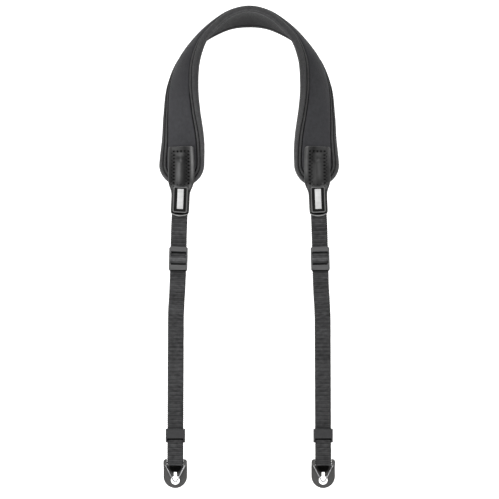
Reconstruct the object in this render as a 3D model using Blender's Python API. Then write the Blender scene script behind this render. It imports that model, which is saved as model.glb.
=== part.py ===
import bpy
import bmesh
from math import atan2, cos, pi, radians, sin, sqrt
from mathutils import Vector

# Camera neck strap, shown as it hangs over a neck: padded band at the top, a webbing leg down
# each side, a ring and a leather flap at each end.
# Lengths are in metres. +Z up, front of the strap toward -Y, left leg at -X.
# The origin lies on the neck side of the padded band, in the middle of its arch.

for old in list(bpy.data.objects):
    bpy.data.objects.remove(old, do_unlink=True)

MM = 0.001

# Webbing, which sets the scale of everything else
WEB_WIDTH = 15.0 * MM
WEB_THICK = 1.1 * MM
GAP = 0.3 * MM
SIDE_GAP = 0.35 * MM
LAYER = (WEB_THICK + GAP) / 2
STACK = WEB_THICK + GAP / 2

# Lay line: the line that the middle of the webbing and of the leather tabs follows
HALF_SPAN = 70.6 * MM
LAY_DROP = 441.0 * MM

# Padded band
PAD_WIDTH = 43.4 * MM
PAD_HALF = PAD_WIDTH / 2
PAD_THICK = 6.4 * MM
PAD_DEPTH = 6.0 * MM
PAD_END_DOWN = 170.3 * MM
ARCH_RISE = 4.6 * MM
ROLL = 2.6 * MM
PANEL_INSET = 7.6 * MM
PANEL_HALF = PAD_HALF - PANEL_INSET
NECK_FACE = 0.93

# Leather tab that joins the band to the webbing
TAB_TOP_DOWN = 131.6 * MM
TAB_LENGTH = 66.8 * MM
TAB_HALF = 12.6 * MM
TAB_LEAN = 0.075
TAB_BACK = 1.5 * MM
TAB_FRONT = 2.9 * MM
POCKET_DEPTH = 26.0 * MM
POCKET_STEPS = 6

# Label plate on the tab
LABEL_LENGTH = 24.7 * MM
LABEL_MARGIN = 3.0 * MM
LABEL_WIDTH = 13.6 * MM
LABEL_THICK = 0.9 * MM
LABEL_RIM = 0.8 * MM
LABEL_SINK = 0.3 * MM

# Three-bar slide
SLIDE_DOWN = 238.6 * MM
SLIDE_HALF = 8.9 * MM
BAR_BACK = STACK + GAP
BAR_FRONT = 3.6 * MM
CENTRE_BAR = 3.4 * MM
CENTRE_BACK = -0.4 * MM
CENTRE_FRONT = 1.2 * MM
SLOT = 4.7 * MM
OUTER_BAR = 4.6 * MM
SLIDE_LEDGE = 1.6 * MM
TAIL_MARGIN = 5.0 * MM

# Keeper loop
KEEPER_DOWN = 401.5 * MM
KEEPER_HEIGHT = 12.9 * MM
KEEPER_HALF = 9.3 * MM
KEEPER_WALL = 1.6 * MM
KEEPER_PLATE = 8.6 * MM
KEEPER_BACK_BAR = 7.4 * MM

# Triangular ring of two wire turns
RING_DOWN = 433.7 * MM
WIRE_RADIUS = 0.55 * MM
TURN_PITCH = 1.3 * MM
RING_HALF = 9.6 * MM
RING_HEIGHT = 20.2 * MM
RING_CORNER = 1.7 * MM

# Protective flap behind the ring
FLAP_HALF = 11.3 * MM
FLAP_ABOVE = 3.5 * MM
FLAP_BELOW = 24.6 * MM
FLAP_THICK = 1.8 * MM
FLAP_OFFSET = 2.4 * MM
HOLE_DOWN = 17.5 * MM
HOLE_RADIUS = 4.4 * MM
SLOT_HALF = 1.4 * MM
SLOT_TOP = 9.3 * MM

# Rows of the lay line from the middle of the arch down one leg.
# out: share of HALF_SPAN, down: share of LAY_DROP, back: share of PAD_WIDTH,
# turn: degrees that the band faces the front rather than up or out, arch: share of ARCH_RISE
LAY_ROWS = (
    # out, down, back, turn, arch
    (0.0000, 0.0000, 0.0000, -15.4, 0.98),
    (0.2544, 0.0070, 0.0000, -11.1, 0.94),
    (0.4999, 0.0281, 0.0000, -2.3, 0.89),
    (0.7214, 0.0585, -0.0304, 7.3, 0.73),
    (0.8951, 0.1032, -0.1059, 23.9, 0.71),
    (0.9751, 0.1614, -0.1866, 40.2, 0.46),
    (0.9708, 0.2279, -0.2768, 53.9, 0.08),
    (0.9290, 0.2898, -0.4005, 72.9, 0.00),
    (0.9180, 0.3333, -0.4540, 86.4, 0.00),
    (0.9270, 0.4030, -0.4561, 90.0, 0.00),
    (0.9480, 0.4759, -0.4561, 90.0, 0.00),
    (0.9600, 0.5539, -0.4561, 90.0, 0.00),
    (0.9720, 0.6102, -0.4561, 90.0, 0.00),
    (0.9840, 0.6426, -0.4561, 90.0, 0.00),
    (0.9915, 0.6709, -0.4561, 90.0, 0.00),
)


def lay_points():
    rows = [(x * HALF_SPAN, d * LAY_DROP, b * PAD_WIDTH, radians(t), a * ARCH_RISE)
            for x, d, b, t, a in LAY_ROWS]
    mirrored = [(-x, d, b, t, a) for x, d, b, t, a in rows[3:0:-1]]
    last = rows[-1]
    end = (HALF_SPAN, LAY_DROP, last[2], last[3], last[4])
    near = tuple(p + (q - p) * 0.08 for p, q in zip(last, end))
    return mirrored + rows + [near, end], len(mirrored)


def smooth_samples():
    rows, first = lay_points()
    knots = [0.0]
    for a, b in zip(rows, rows[1:]):
        step = sqrt(sum((b[i] - a[i]) ** 2 for i in range(3)))
        knots.append(knots[-1] + step)
    knots = [k - knots[first] for k in knots]

    def slope(i, c):
        if i == 0:
            return (rows[1][c] - rows[0][c]) / (knots[1] - knots[0])
        if i == len(rows) - 1:
            return (rows[-1][c] - rows[-2][c]) / (knots[-1] - knots[-2])
        h0 = knots[i] - knots[i - 1]
        h1 = knots[i + 1] - knots[i]
        d0 = (rows[i][c] - rows[i - 1][c]) / h0
        d1 = (rows[i + 1][c] - rows[i][c]) / h1
        return (d0 * h1 + d1 * h0) / (h0 + h1)

    samples = []
    per_row = 40
    for i in range(first, len(rows) - 1):
        h = knots[i + 1] - knots[i]
        for j in range(per_row):
            t = j / per_row
            value = []
            for c in range(5):
                a, b = rows[i][c], rows[i + 1][c]
                m, n = slope(i, c) * h, slope(i + 1, c) * h
                value.append((2 * t ** 3 - 3 * t ** 2 + 1) * a + (t ** 3 - 2 * t ** 2 + t) * m
                             + (3 * t ** 2 - 2 * t ** 3) * b + (t ** 3 - t ** 2) * n)
            samples.append(value)
    samples.append(list(rows[-1]))
    return samples


# The lay line's top sits so that the neck side of the band meets the origin
SAMPLES = smooth_samples()
TOP_HEIGHT = PAD_DEPTH + NECK_FACE * PAD_THICK / 2 - SAMPLES[0][4]
LAY_TOP_Z = TOP_HEIGHT * cos(SAMPLES[0][3])
LAY_TOP_Y = -TOP_HEIGHT * sin(SAMPLES[0][3])
POINTS = [Vector((v[0], LAY_TOP_Y + v[2], LAY_TOP_Z - v[1])) for v in SAMPLES]
LENGTHS = [0.0]
for p, q in zip(POINTS, POINTS[1:]):
    LENGTHS.append(LENGTHS[-1] + (q - p).length)


def along(down):
    """Length along the lay line at a given drop below its top."""
    for i in range(1, len(SAMPLES)):
        if SAMPLES[i][1] >= down:
            a, b = SAMPLES[i - 1][1], SAMPLES[i][1]
            t = (down - a) / (b - a)
            return LENGTHS[i - 1] + (LENGTHS[i] - LENGTHS[i - 1]) * t
    return LENGTHS[-1] + (down - SAMPLES[-1][1])


def frame(s):
    """Point, down-the-strap, across and outward directions at length s, and the arch there."""
    s = abs(s)
    if s >= LENGTHS[-1]:
        tangent = (POINTS[-1] - POINTS[-2]).normalized()
        point = POINTS[-1] + tangent * (s - LENGTHS[-1])
        turn, arch = SAMPLES[-1][3], SAMPLES[-1][4]
    else:
        low, high = 0, len(LENGTHS) - 1
        while high - low > 1:
            mid = (low + high) // 2
            if LENGTHS[mid] <= s:
                low = mid
            else:
                high = mid
        t = (s - LENGTHS[low]) / (LENGTHS[high] - LENGTHS[low])
        point = POINTS[low].lerp(POINTS[high], t)
        turn = SAMPLES[low][3] + (SAMPLES[high][3] - SAMPLES[low][3]) * t
        arch = SAMPLES[low][4] + (SAMPLES[high][4] - SAMPLES[low][4]) * t
        if low == 0:
            before = Vector((-POINTS[1].x, POINTS[1].y, POINTS[1].z))
        else:
            before = POINTS[low - 1]
        after = POINTS[min(high + 1, len(POINTS) - 1)]
        t0 = (POINTS[high] - before).normalized()
        t1 = (after - POINTS[low]).normalized()
        tangent = t0.lerp(t1, t).normalized()
    outward = Vector((-tangent.z, 0.0, tangent.x)).normalized()
    across = Vector((0, 1, 0)) * cos(turn) + outward * sin(turn)
    across = (across - tangent * across.dot(tangent)).normalized()
    normal = across.cross(tangent).normalized()
    if normal.dot(outward * cos(turn) - Vector((0, 1, 0)) * sin(turn)) < 0:
        normal = -normal
    return point, tangent, across, normal, arch


def bent(s, u, n):
    """A point of the flat pattern laid onto the hanging shape; s < 0 is the left leg."""
    point, _, across, normal, arch = frame(s)
    crown = arch * (1 - (u / (PAD_HALF - ROLL)) ** 2)
    p = point + across * u + normal * (n + crown)
    if s < 0:
        p.x = -p.x
    return p


def stiff(side, s0):
    """Placing for a hard piece whose own origin sits on the lay line at length s0."""
    point, tangent, across, normal, _ = frame(s0)

    def put(s, u, n):
        p = point + tangent * s + across * u + normal * n
        p.x *= side
        return p
    return put


def material(name, colour, roughness, metallic=0.0):
    mat = bpy.data.materials.new(name)
    mat.use_nodes = True
    shader = mat.node_tree.nodes["Principled BSDF"]
    shader.inputs["Base Color"].default_value = (*colour, 1.0)
    shader.inputs["Roughness"].default_value = roughness
    shader.inputs["Metallic"].default_value = metallic
    return mat


NEOPRENE = material("padded neoprene", (0.045, 0.045, 0.048), 0.8)
PANEL = material("smooth neoprene", (0.036, 0.036, 0.040), 0.7)
LEATHER = material("black leather", (0.022, 0.022, 0.023), 0.45)
LABEL = material("label rubber", (0.012, 0.012, 0.012), 0.5)
WEBBING = material("woven webbing", (0.030, 0.030, 0.031), 0.85)
PLASTIC = material("matt plastic", (0.050, 0.050, 0.052), 0.5)
STEEL = material("bright steel", (0.72, 0.72, 0.72), 0.22, 1.0)
FLAP = material("flap leather", (0.030, 0.029, 0.028), 0.55)


class Solid:
    """Collects corners and faces; equal corners are shared, flat faces of no area are dropped."""

    def __init__(self):
        self.points = []
        self.index = {}
        self.faces = []

    def corner(self, p):
        key = (round(p[0] * 1e6), round(p[1] * 1e6), round(p[2] * 1e6))
        if key not in self.index:
            self.index[key] = len(self.points)
            self.points.append(tuple(p))
        return self.index[key]

    def face(self, corners):
        loop = []
        for p in corners:
            i = self.corner(p)
            if i not in loop:
                loop.append(i)
        if len(loop) > 2:
            self.faces.append(loop)

    def finish(self, name, mat, smooth=True, sharp=40):
        mesh = bpy.data.meshes.new(name)
        mesh.from_pydata(self.points, [], self.faces)
        work = bmesh.new()
        work.from_mesh(mesh)
        bmesh.ops.recalc_face_normals(work, faces=work.faces)
        for face in work.faces:
            face.smooth = smooth
        for edge in work.edges:
            if len(edge.link_faces) == 2 and edge.calc_face_angle(0) > radians(sharp):
                edge.smooth = False
        work.to_mesh(mesh)
        work.free()
        mesh.update()
        mesh.materials.append(mat)
        obj = bpy.data.objects.new(name, mesh)
        bpy.context.scene.collection.objects.link(obj)
        return obj


def rings_solid(rings, name, mat, smooth=True, sharp=40):
    """Closed solid through a list of equal closed rings; the two end rings become faces."""
    solid = Solid()
    count = len(rings[0])
    for a, b in zip(rings, rings[1:]):
        for i in range(count):
            j = (i + 1) % count
            solid.face([a[i], b[i], b[j], a[j]])
    solid.face(rings[0])
    solid.face(list(reversed(rings[-1])))
    return solid.finish(name, mat, smooth, sharp)


def box_rings(put, s0, s1, u0, u1, n0, n1):
    return [[put(s, u0, n0), put(s, u1, n0), put(s, u1, n1), put(s, u0, n1)] for s in (s0, s1)]


def cut(obj, cutter):
    """Take the cutter's volume out of the object."""
    cutter.hide_render = True
    cutter.display_type = "WIRE"
    mod = obj.modifiers.new("cut " + cutter.name, "BOOLEAN")
    mod.operation = "DIFFERENCE"
    mod.solver = "EXACT"
    mod.object = cutter


def cut_box(obj, put, name, s0, s1, u0, u1, n0, n1):
    cutter = rings_solid(box_rings(put, s0, s1, u0, u1, n0, n1), name, PLASTIC, smooth=False)
    cut(obj, cutter)


def cut_profile(obj, put, name, u0, u1, profile):
    """Take out a prism that runs across the strap; profile holds (length, height) corners."""
    rings = [[put(s, u, n) for s, n in profile] for u in (u0, u1)]
    cut(obj, rings_solid(rings, name, PLASTIC, smooth=False))


def band_stations(centre, radius, step, tips):
    """Stations of a band with round ends: (length, rounding angle) from left tip to right tip."""
    count = round(2 * centre / step)
    row = [(-centre + 2 * centre * i / count, 0.0) for i in range(count + 1)]
    turns = [90.0 * (i + 1) / tips for i in range(tips)]
    left = [(-centre, -radians(a)) for a in reversed(turns)]
    right = [(centre, radians(a)) for a in turns]
    return left + row + right


def round_band(name, mat, length_half, radius, section, step, tips=5):
    """Solid band with round ends. section: (inset from the edge, height) from the middle of the
    lower side out round the edge and back to the middle of the upper side."""
    centre = length_half - radius
    solid = Solid()
    stations = band_stations(centre, radius, step, tips)

    def point(station, side, inset, height):
        s0, turn = station
        reach = max(radius - inset, 0.0)
        s = s0 + reach * sin(turn)
        u = side * reach * cos(turn)
        if abs(abs(turn) - pi / 2) < 1e-6:
            u = 0.0
        return bent(s, u, height - PAD_DEPTH)

    for a, b in zip(stations, stations[1:]):
        for side in (-1, 1):
            for (i0, h0), (i1, h1) in zip(section, section[1:]):
                p, q = point(a, side, i0, h0), point(b, side, i0, h0)
                r, v = point(b, side, i1, h1), point(a, side, i1, h1)
                # Faces that lie on each other are split along the same diagonal
                if (i0 < i1) == (a[0] + b[0] > 0):
                    solid.face([p, q, r])
                    solid.face([p, r, v])
                else:
                    solid.face([p, q, v])
                    solid.face([q, r, v])
    return solid.finish(name, mat, True, 50)


# Padded band: rolled edge, stitched groove, narrow strip, second groove, floor for the panel.
# inset: share of PANEL_INSET, height: share of half of PAD_THICK
PAD_SECTION = (
    # inset, height
    (2.855, -NECK_FACE),
    (1.750, -NECK_FACE),
    (1.150, -0.92),
    (0.700, -0.88),
    (0.520, -0.80),
    (0.420, -0.88),
    (0.260, -0.98),
    (0.110, -0.80),
    (0.000, 0.00),
    (0.060, 0.60),
    (0.170, 0.93),
    (0.290, 0.99),
    (0.410, 0.86),
    (0.490, 0.55),
    (0.540, 0.56),
    (0.600, 0.86),
    (0.740, 0.92),
    (0.860, 0.86),
    (0.915, 0.50),
    (1.5566, 0.50),
    (2.2059, 0.50),
    (2.855, 0.50),
)
pad_section = [(i * PANEL_INSET, h * PAD_THICK / 2) for i, h in PAD_SECTION]
pad_section[0] = (PAD_HALF, pad_section[0][1])
pad_section[-1] = (PAD_HALF, pad_section[-1][1])
PAD_LENGTH_HALF = along(PAD_END_DOWN)
round_band("neck_pad", NEOPRENE, PAD_LENGTH_HALF, PAD_HALF, pad_section, 10.5 * MM)

# Smooth raised panel laid on the band.
# inset: share of PANEL_HALF, height: share of half of PAD_THICK
PANEL_SECTION = (
    # inset, height
    (1.00, 0.60),
    (0.65, 0.60),
    (0.30, 0.60),
    (0.00, 0.62),
    (0.02, 0.90),
    (0.10, 1.08),
    (0.30, 1.17),
    (0.65, 1.23),
    (1.00, 1.25),
)
panel_section = [(i * PANEL_HALF, h * PAD_THICK / 2) for i, h in PANEL_SECTION]
round_band("pad_panel", PANEL, PAD_LENGTH_HALF - PANEL_INSET, PANEL_HALF, panel_section, 10.5 * MM)

# Rows of the leather tab from its top to the tip of its tongue.
# down: share of TAB_LENGTH, half: share of TAB_HALF, edge and margin and crown: share of TAB_FRONT
TAB_ROWS = (
    # down, half, edge, margin, crown
    (0.000, 0.80, 0.05, 0.10, 0.20),
    (0.012, 0.93, 0.10, 0.18, 0.35),
    (0.045, 1.00, 0.10, 0.22, 0.62),
    (0.120, 1.00, 0.10, 0.24, 0.86),
    (0.300, 1.00, 0.10, 0.26, 0.96),
    (0.480, 1.00, 0.12, 0.32, 1.00),
    (0.540, 0.95, 0.22, 0.55, 1.00),
    (0.600, 0.84, 0.45, 0.84, 1.00),
    (0.650, 0.745, 0.62, 0.95, 1.00),
    (0.700, 0.70, 0.66, 0.96, 1.00),
    (0.920, 0.70, 0.66, 0.96, 1.00),
    (0.970, 0.69, 0.64, 0.94, 0.97),
    (1.000, 0.66, 0.60, 0.84, 0.88),
)
# across: share of the row's half width, height picks edge, margin or crown of the row
TAB_SECTION = (
    # across, edge, margin, crown
    (1.00, 1, 0, 0),
    (0.97, 0, 1, 0),
    (0.80, 0, 0.6, 0.4),
    (0.55, 0, 0, 1),
    (0.00, 0, 0, 1.02),
)


def make_tab(side, word):
    top = along(TAB_TOP_DOWN)
    rings = []
    for down, half, edge, margin, crown in TAB_ROWS:
        s = top + down * TAB_LENGTH
        lean = TAB_LEAN * max(1 - down / 0.2, 0.0)
        w = half * TAB_HALF
        front = []
        for across, e, m, c in TAB_SECTION:
            front.append((across * w, (e * edge + m * margin + c * crown) * TAB_FRONT))
        loop = [(0.0, -TAB_BACK), (0.5 * w, -TAB_BACK), (0.94 * w, -TAB_BACK), (w, -0.8 * TAB_BACK)]
        loop += front
        loop += [(-u, n) for u, n in reversed(loop[1:-1])]
        rings.append([bent(side * (s - lean * u), u, n) for u, n in loop])
    tab = rings_solid(rings, "tab_" + word, LEATHER, True, 50)
    tip = top + TAB_LENGTH
    half = WEB_WIDTH / 2 + SIDE_GAP
    low, high = LAYER - WEB_THICK / 2 - GAP, LAYER + WEB_THICK / 2 + GAP
    cutter_rings = []
    stations = [tip + 3 * MM] + [tip - POCKET_DEPTH * i / POCKET_STEPS for i in range(POCKET_STEPS + 1)]
    for s in (side * station for station in stations):
        cutter_rings.append([bent(s, -half, low), bent(s, half, low),
                             bent(s, half, high), bent(s, -half, high)])
    pocket = rings_solid(cutter_rings, "pocket_" + word, LEATHER, False)
    cut(tab, pocket)


def make_label(side, word):
    s0 = along(TAB_TOP_DOWN) + TAB_LENGTH - LABEL_MARGIN - LABEL_LENGTH
    steps = 4
    back = 1.02 * TAB_FRONT + GAP
    solid = Solid()
    front = back + LABEL_THICK
    field = front - LABEL_SINK
    corner = 1.0 * MM

    def outline(shrink, n):
        half = LABEL_WIDTH / 2 - shrink
        a, b = shrink, LABEL_LENGTH - shrink
        r = corner - 0.5 * shrink
        pts = [(a, half - r), (a + 0.3 * r, half - 0.3 * r), (a + r, half)]
        for i in range(1, steps):
            pts.append((a + (b - a) * i / steps, half))
        pts += [(b - r, half), (b - 0.3 * r, half - 0.3 * r), (b, half - r)]
        pts += [(s, -u) for s, u in reversed(pts)]
        return [bent(side * (s0 + s), u, n) for s, u in pts]

    loops = [outline(0.0, back), outline(0.0, front - 0.2 * MM), outline(0.2 * MM, front),
             outline(LABEL_RIM, front), outline(LABEL_RIM + 0.1 * MM, field)]
    count = len(loops[0])
    for a, b in zip(loops, loops[1:]):
        for i in range(count):
            j = (i + 1) % count
            solid.face([a[i], a[j], b[j], b[i]])
    half_count = count // 2
    for loop in (loops[0], loops[-1]):
        for i in range(half_count - 1):
            solid.face([loop[i], loop[i + 1], loop[count - 2 - i], loop[count - 1 - i]])
    return solid.finish("label_" + word, LABEL, True, 30)


def s_bend(s0, s1, n0, n1, parts=5):
    """Points of an S bend made of two equal arcs between two straight runs."""
    run, rise = s1 - s0, n1 - n0
    sign = 1 if rise > 0 else -1
    radius = (run ** 2 + rise ** 2) / (4 * abs(rise))
    full = 2 * atan2(abs(rise), run)
    out = []
    for i in range(parts + 1):
        a = full * i / parts
        out.append((s0 + radius * sin(a), n0 + sign * radius * (1 - cos(a))))
    for i in range(1, parts + 1):
        a = full * (1 - i / parts)
        out.append((s1 - radius * sin(a), n1 - sign * radius * (1 - cos(a))))
    return out


def offset_line(points, distance):
    """The same line shifted sideways, toward +n for a line that runs toward +s."""
    out = []
    for i, (s, n) in enumerate(points):
        a = points[max(i - 1, 0)]
        b = points[min(i + 1, len(points) - 1)]
        ds, dn = b[0] - a[0], b[1] - a[1]
        size = sqrt(ds * ds + dn * dn)
        out.append((s - dn / size * distance, n + ds / size * distance))
    return out


def strap_line():
    """Middle of the webbing: down the front, through the slide, round the ring bar and back up."""
    c = along(SLIDE_DOWN)
    r = along(RING_DOWN)
    inner = CENTRE_BAR / 2
    outer = inner + SLOT
    hump = CENTRE_FRONT + GAP + STACK
    middle = s_bend(c - outer, c - inner, 0.0, hump) + s_bend(c + inner, c + outer, hump, 0.0)
    tip = along(TAB_TOP_DOWN) + TAB_LENGTH
    # The webbing bends at the same stations as its pocket in the tab
    upper = [(tip - POCKET_DEPTH + GAP, 0.0)]
    upper += [(tip - POCKET_DEPTH * i / POCKET_STEPS, 0.0) for i in range(POCKET_STEPS - 1, -1, -1)]
    upper += [(tip + (c - outer - 4 * MM - tip) * i / 2, 0.0) for i in (1, 2)]
    low_start = c + outer + 4 * MM
    low_end = r - 10 * MM
    low = []
    twist_end = along(LAY_ROWS[-1][1] * LAY_DROP)
    for i in range(7):
        low.append((low_start + (twist_end - low_start) * i / 6, 0.0))
    low.append(((twist_end + low_end) / 2, 0.0))
    low.append((low_end, 0.0))
    front = offset_line(upper + middle + low, LAYER)
    back_up = tip + TAIL_MARGIN
    tail_upper = [(back_up, 0.0), ((back_up + c - outer) / 2, 0.0), (c - outer - 3 * MM, 0.0)]
    back = offset_line(tail_upper + middle + low, -LAYER)
    bend = WIRE_RADIUS + TURN_PITCH / 2 + GAP + WEB_THICK / 2
    down = s_bend(low_end + 0.6 * MM, r, LAYER, bend, 4)
    loop = []
    for i in range(1, 8):
        a = pi * i / 8
        loop.append((r + bend * sin(a), bend * cos(a)))
    up = [(s, -n) for s, n in reversed(down)]
    return front + down + loop + up + list(reversed(back))


def make_webbing(side, word):
    line = strap_line()
    rings = []
    half = WEB_WIDTH / 2
    for i, (s, n) in enumerate(line):
        a = line[max(i - 1, 0)]
        b = line[min(i + 1, len(line) - 1)]
        ds, dn = b[0] - a[0], b[1] - a[1]
        size = sqrt(ds * ds + dn * dn)
        os, on = -dn / size * WEB_THICK / 2, ds / size * WEB_THICK / 2
        rings.append([bent(side * (s + os), half, n + on), bent(side * (s + os), -half, n + on),
                      bent(side * (s - os), -half, n - on), bent(side * (s - os), half, n - on)])
    return rings_solid(rings, "webbing_" + word, WEBBING, True, 40)


def make_slide(side, word):
    put = stiff(side, along(SLIDE_DOWN))
    inner = CENTRE_BAR / 2
    outer = inner + SLOT
    top = -(outer + OUTER_BAR)
    bottom = outer + OUTER_BAR + SLIDE_LEDGE
    trim = 1.4 * MM
    outline = [(top, SLIDE_HALF - trim), (top + trim, SLIDE_HALF), (bottom - trim, SLIDE_HALF),
               (bottom, SLIDE_HALF - trim)]
    outline += [(s, -u) for s, u in reversed(outline)]
    rings = [[put(s, u, n) for s, u in outline] for n in (CENTRE_BACK, BAR_FRONT)]
    slide = rings_solid(rings, "slide_" + word, PLASTIC, False)
    window = WEB_WIDTH / 2 + SIDE_GAP
    wide = SLIDE_HALF + MM
    rail = 3.2 * MM
    far = 3 * MM
    cut_box(slide, put, "relief_top_" + word, top - MM, -rail, -wide, wide, CENTRE_BACK - MM, BAR_BACK)
    cut_box(slide, put, "relief_low_" + word, rail, bottom + MM, -wide, wide, CENTRE_BACK - MM, BAR_BACK)
    cut_profile(slide, put, "slots_" + word, -window, window, (
        (-outer, -far), (-inner, -far), (-inner, CENTRE_FRONT), (inner, CENTRE_FRONT),
        (inner, -far), (outer, -far), (outer, BAR_FRONT + MM), (-outer, BAR_FRONT + MM)))
    cut_box(slide, put, "ledge_" + word, bottom - SLIDE_LEDGE, bottom + MM, -wide, wide,
            BAR_BACK + 0.9 * MM, BAR_FRONT + MM)
    return slide


def make_keeper(side, word):
    put = stiff(side, along(KEEPER_DOWN))
    depth = STACK + GAP + KEEPER_WALL
    trim = 0.9 * MM
    loop = [(KEEPER_HALF, depth - trim), (KEEPER_HALF - trim, depth), (-KEEPER_HALF + trim, depth),
            (-KEEPER_HALF, depth - trim), (-KEEPER_HALF, -depth + trim), (-KEEPER_HALF + trim, -depth),
            (KEEPER_HALF - trim, -depth), (KEEPER_HALF, -depth + trim)]
    rings = [[put(s, u, n) for u, n in loop] for s in (0.0, KEEPER_HEIGHT)]
    keeper = rings_solid(rings, "keeper_" + word, PLASTIC, False)
    window = WEB_WIDTH / 2 + SIDE_GAP
    inside = STACK + GAP
    end = KEEPER_HEIGHT + MM
    back = KEEPER_HEIGHT - KEEPER_BACK_BAR
    cut_profile(keeper, put, "passage_" + word, -window, window, (
        (-MM, inside), (KEEPER_PLATE, inside), (KEEPER_PLATE, depth + MM), (end, depth + MM),
        (end, -inside), (back, -inside), (back, -depth - MM), (-MM, -depth - MM)))
    return keeper


def ring_outline():
    """One turn of the ring's middle line, from the middle of the bar round and back to it."""
    corners = ((RING_HALF + 0.9 * MM, 0.0), (0.0, RING_HEIGHT + 0.4 * MM), (-RING_HALF - 0.9 * MM, 0.0))
    radii = (RING_CORNER, RING_CORNER + 0.2 * MM, RING_CORNER)
    out = []
    for i, (corner, radius) in enumerate(zip(corners, radii)):
        c = Vector(corner)
        a = (Vector(corners[i - 1]) - c).normalized()
        b = (Vector(corners[(i + 1) % 3]) - c).normalized()
        half = a.angle(b) / 2
        centre = c + (a + b).normalized() * (radius / sin(half))
        first = c + a * (radius / (sin(half) / cos(half)))
        last = c + b * (radius / (sin(half) / cos(half)))
        v0, v1 = first - centre, last - centre
        total = v0.angle(v1)
        steps = 6
        for k in range(steps + 1):
            t = k / steps
            v = (v0 * sin((1 - t) * total) + v1 * sin(t * total)) / sin(total)
            out.append(centre + v)
    return out


def make_ring(side, word):
    put = stiff(side, along(RING_DOWN))
    turn = ring_outline()
    line = []
    low, high = -TURN_PITCH / 2, TURN_PITCH / 2
    # Start on the straight run after the first corner, so that the two turns cross over there
    order = turn[6:] + turn[:6]
    last_of_leg = turn[6]
    first_of_leg = turn[7]
    leg = first_of_leg - last_of_leg
    begin = last_of_leg + leg * 0.60
    line.append((begin, low))
    for p in order[1:]:
        line.append((p, low))
    line.append((turn[6], low))
    line.append((last_of_leg + leg * 0.12, low * 0.9))
    line.append((last_of_leg + leg * 0.46, high * 0.9))
    line.append((last_of_leg + leg * 0.56, high))
    for p in order[1:]:
        line.append((p, high))
    line.append((turn[6], high))
    # The second turn ends just before the crossing begins
    line.append((last_of_leg + leg * 0.10, high))
    points = [put(p[1], p[0], n) for p, n in line]
    rings = []
    sides = 8
    normal = (put(0, 0, 1) - put(0, 0, 0)).normalized()
    for i, p in enumerate(points):
        a = points[max(i - 1, 0)]
        b = points[min(i + 1, len(points) - 1)]
        direction = (b - a).normalized()
        x = (normal - direction * normal.dot(direction)).normalized()
        y = direction.cross(x)
        rings.append([p + (x * cos(2 * pi * k / sides) + y * sin(2 * pi * k / sides)) * WIRE_RADIUS
                      for k in range(sides)])
    return rings_solid(rings, "ring_" + word, STEEL, True, 60)


def make_flap(side, word):
    put = stiff(side, along(RING_DOWN))
    bend = s_bend(-0.4 * MM, 4.8 * MM, FLAP_OFFSET, -FLAP_OFFSET, 4)
    line = [(-FLAP_ABOVE - 2 * MM, FLAP_OFFSET)] + bend + [(FLAP_BELOW + 2 * MM, -FLAP_OFFSET)]
    wide = FLAP_HALF + 2 * MM
    front = offset_line(line, FLAP_THICK / 2)
    back = offset_line(line, -FLAP_THICK / 2)
    profile = front + list(reversed(back))
    rings = [[put(s, u, n) for s, n in profile] for u in (-wide, wide)]
    flap = rings_solid(rings, "flap_" + word, FLAP, True, 35)
    # Keep only what lies inside the outline
    top_r = 2.6 * MM
    outline = []
    for k in range(5):
        a = pi / 2 * k / 4
        outline.append((-FLAP_ABOVE + top_r - top_r * cos(a), FLAP_HALF - top_r + top_r * sin(a)))
    foot = FLAP_BELOW - FLAP_HALF
    for k in range(9):
        a = pi / 2 * k / 8
        outline.append((foot + FLAP_HALF * sin(a), FLAP_HALF * cos(a)))
    outline = outline[:-1] + [(FLAP_BELOW, 0.0)] + [(s, -u) for s, u in reversed(outline[:-1])]
    keep_rings = [[put(s, u, n) for s, u in outline] for n in (-8 * MM, 8 * MM)]
    keep = rings_solid(keep_rings, "outline_" + word, FLAP, False)
    keep.hide_render = True
    keep.display_type = "WIRE"
    mod = flap.modifiers.new("outline", "BOOLEAN")
    mod.operation = "INTERSECT"
    mod.solver = "EXACT"
    mod.object = keep
    window = WEB_WIDTH / 2 + SIDE_GAP
    fold_end = 2.95 * MM
    cut_box(flap, put, "fold_gap_" + word, -FLAP_ABOVE - MM, fold_end, -window, window,
            -8 * MM, 8 * MM)
    wire = WIRE_RADIUS + TURN_PITCH / 2 + GAP
    for name, way in (("a", -1), ("b", 1)):
        low, high = sorted((way * 6.6 * MM, way * 10.5 * MM))
        cut_box(flap, put, "wire_slot_" + name + "_" + word, 0.0, 5.6 * MM, low, high, -wire, wire)
    hole = []
    for k in range(24):
        a = 2 * pi * k / 24
        hole.append((HOLE_DOWN + HOLE_RADIUS * cos(a), HOLE_RADIUS * sin(a)))
    hole_rings = [[put(s, u, n) for s, u in hole] for n in (-8 * MM, 0.0)]
    cutter = rings_solid(hole_rings, "lug_hole_" + word, FLAP, False)
    cut(flap, cutter)
    cut_box(flap, put, "lug_slot_" + word, SLOT_TOP, HOLE_DOWN, -SLOT_HALF, SLOT_HALF, -8 * MM, 0.0)
    return flap


for side, word in ((-1, "left"), (1, "right")):
    make_tab(side, word)
    make_label(side, word)
    make_webbing(side, word)
    make_slide(side, word)
    make_keeper(side, word)
    make_ring(side, word)
    make_flap(side, word)
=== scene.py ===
import bpy
import bmesh
from bisect import bisect
from math import atan2, cos, exp, pi, radians, sin, sqrt
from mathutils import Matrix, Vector, noise


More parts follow.
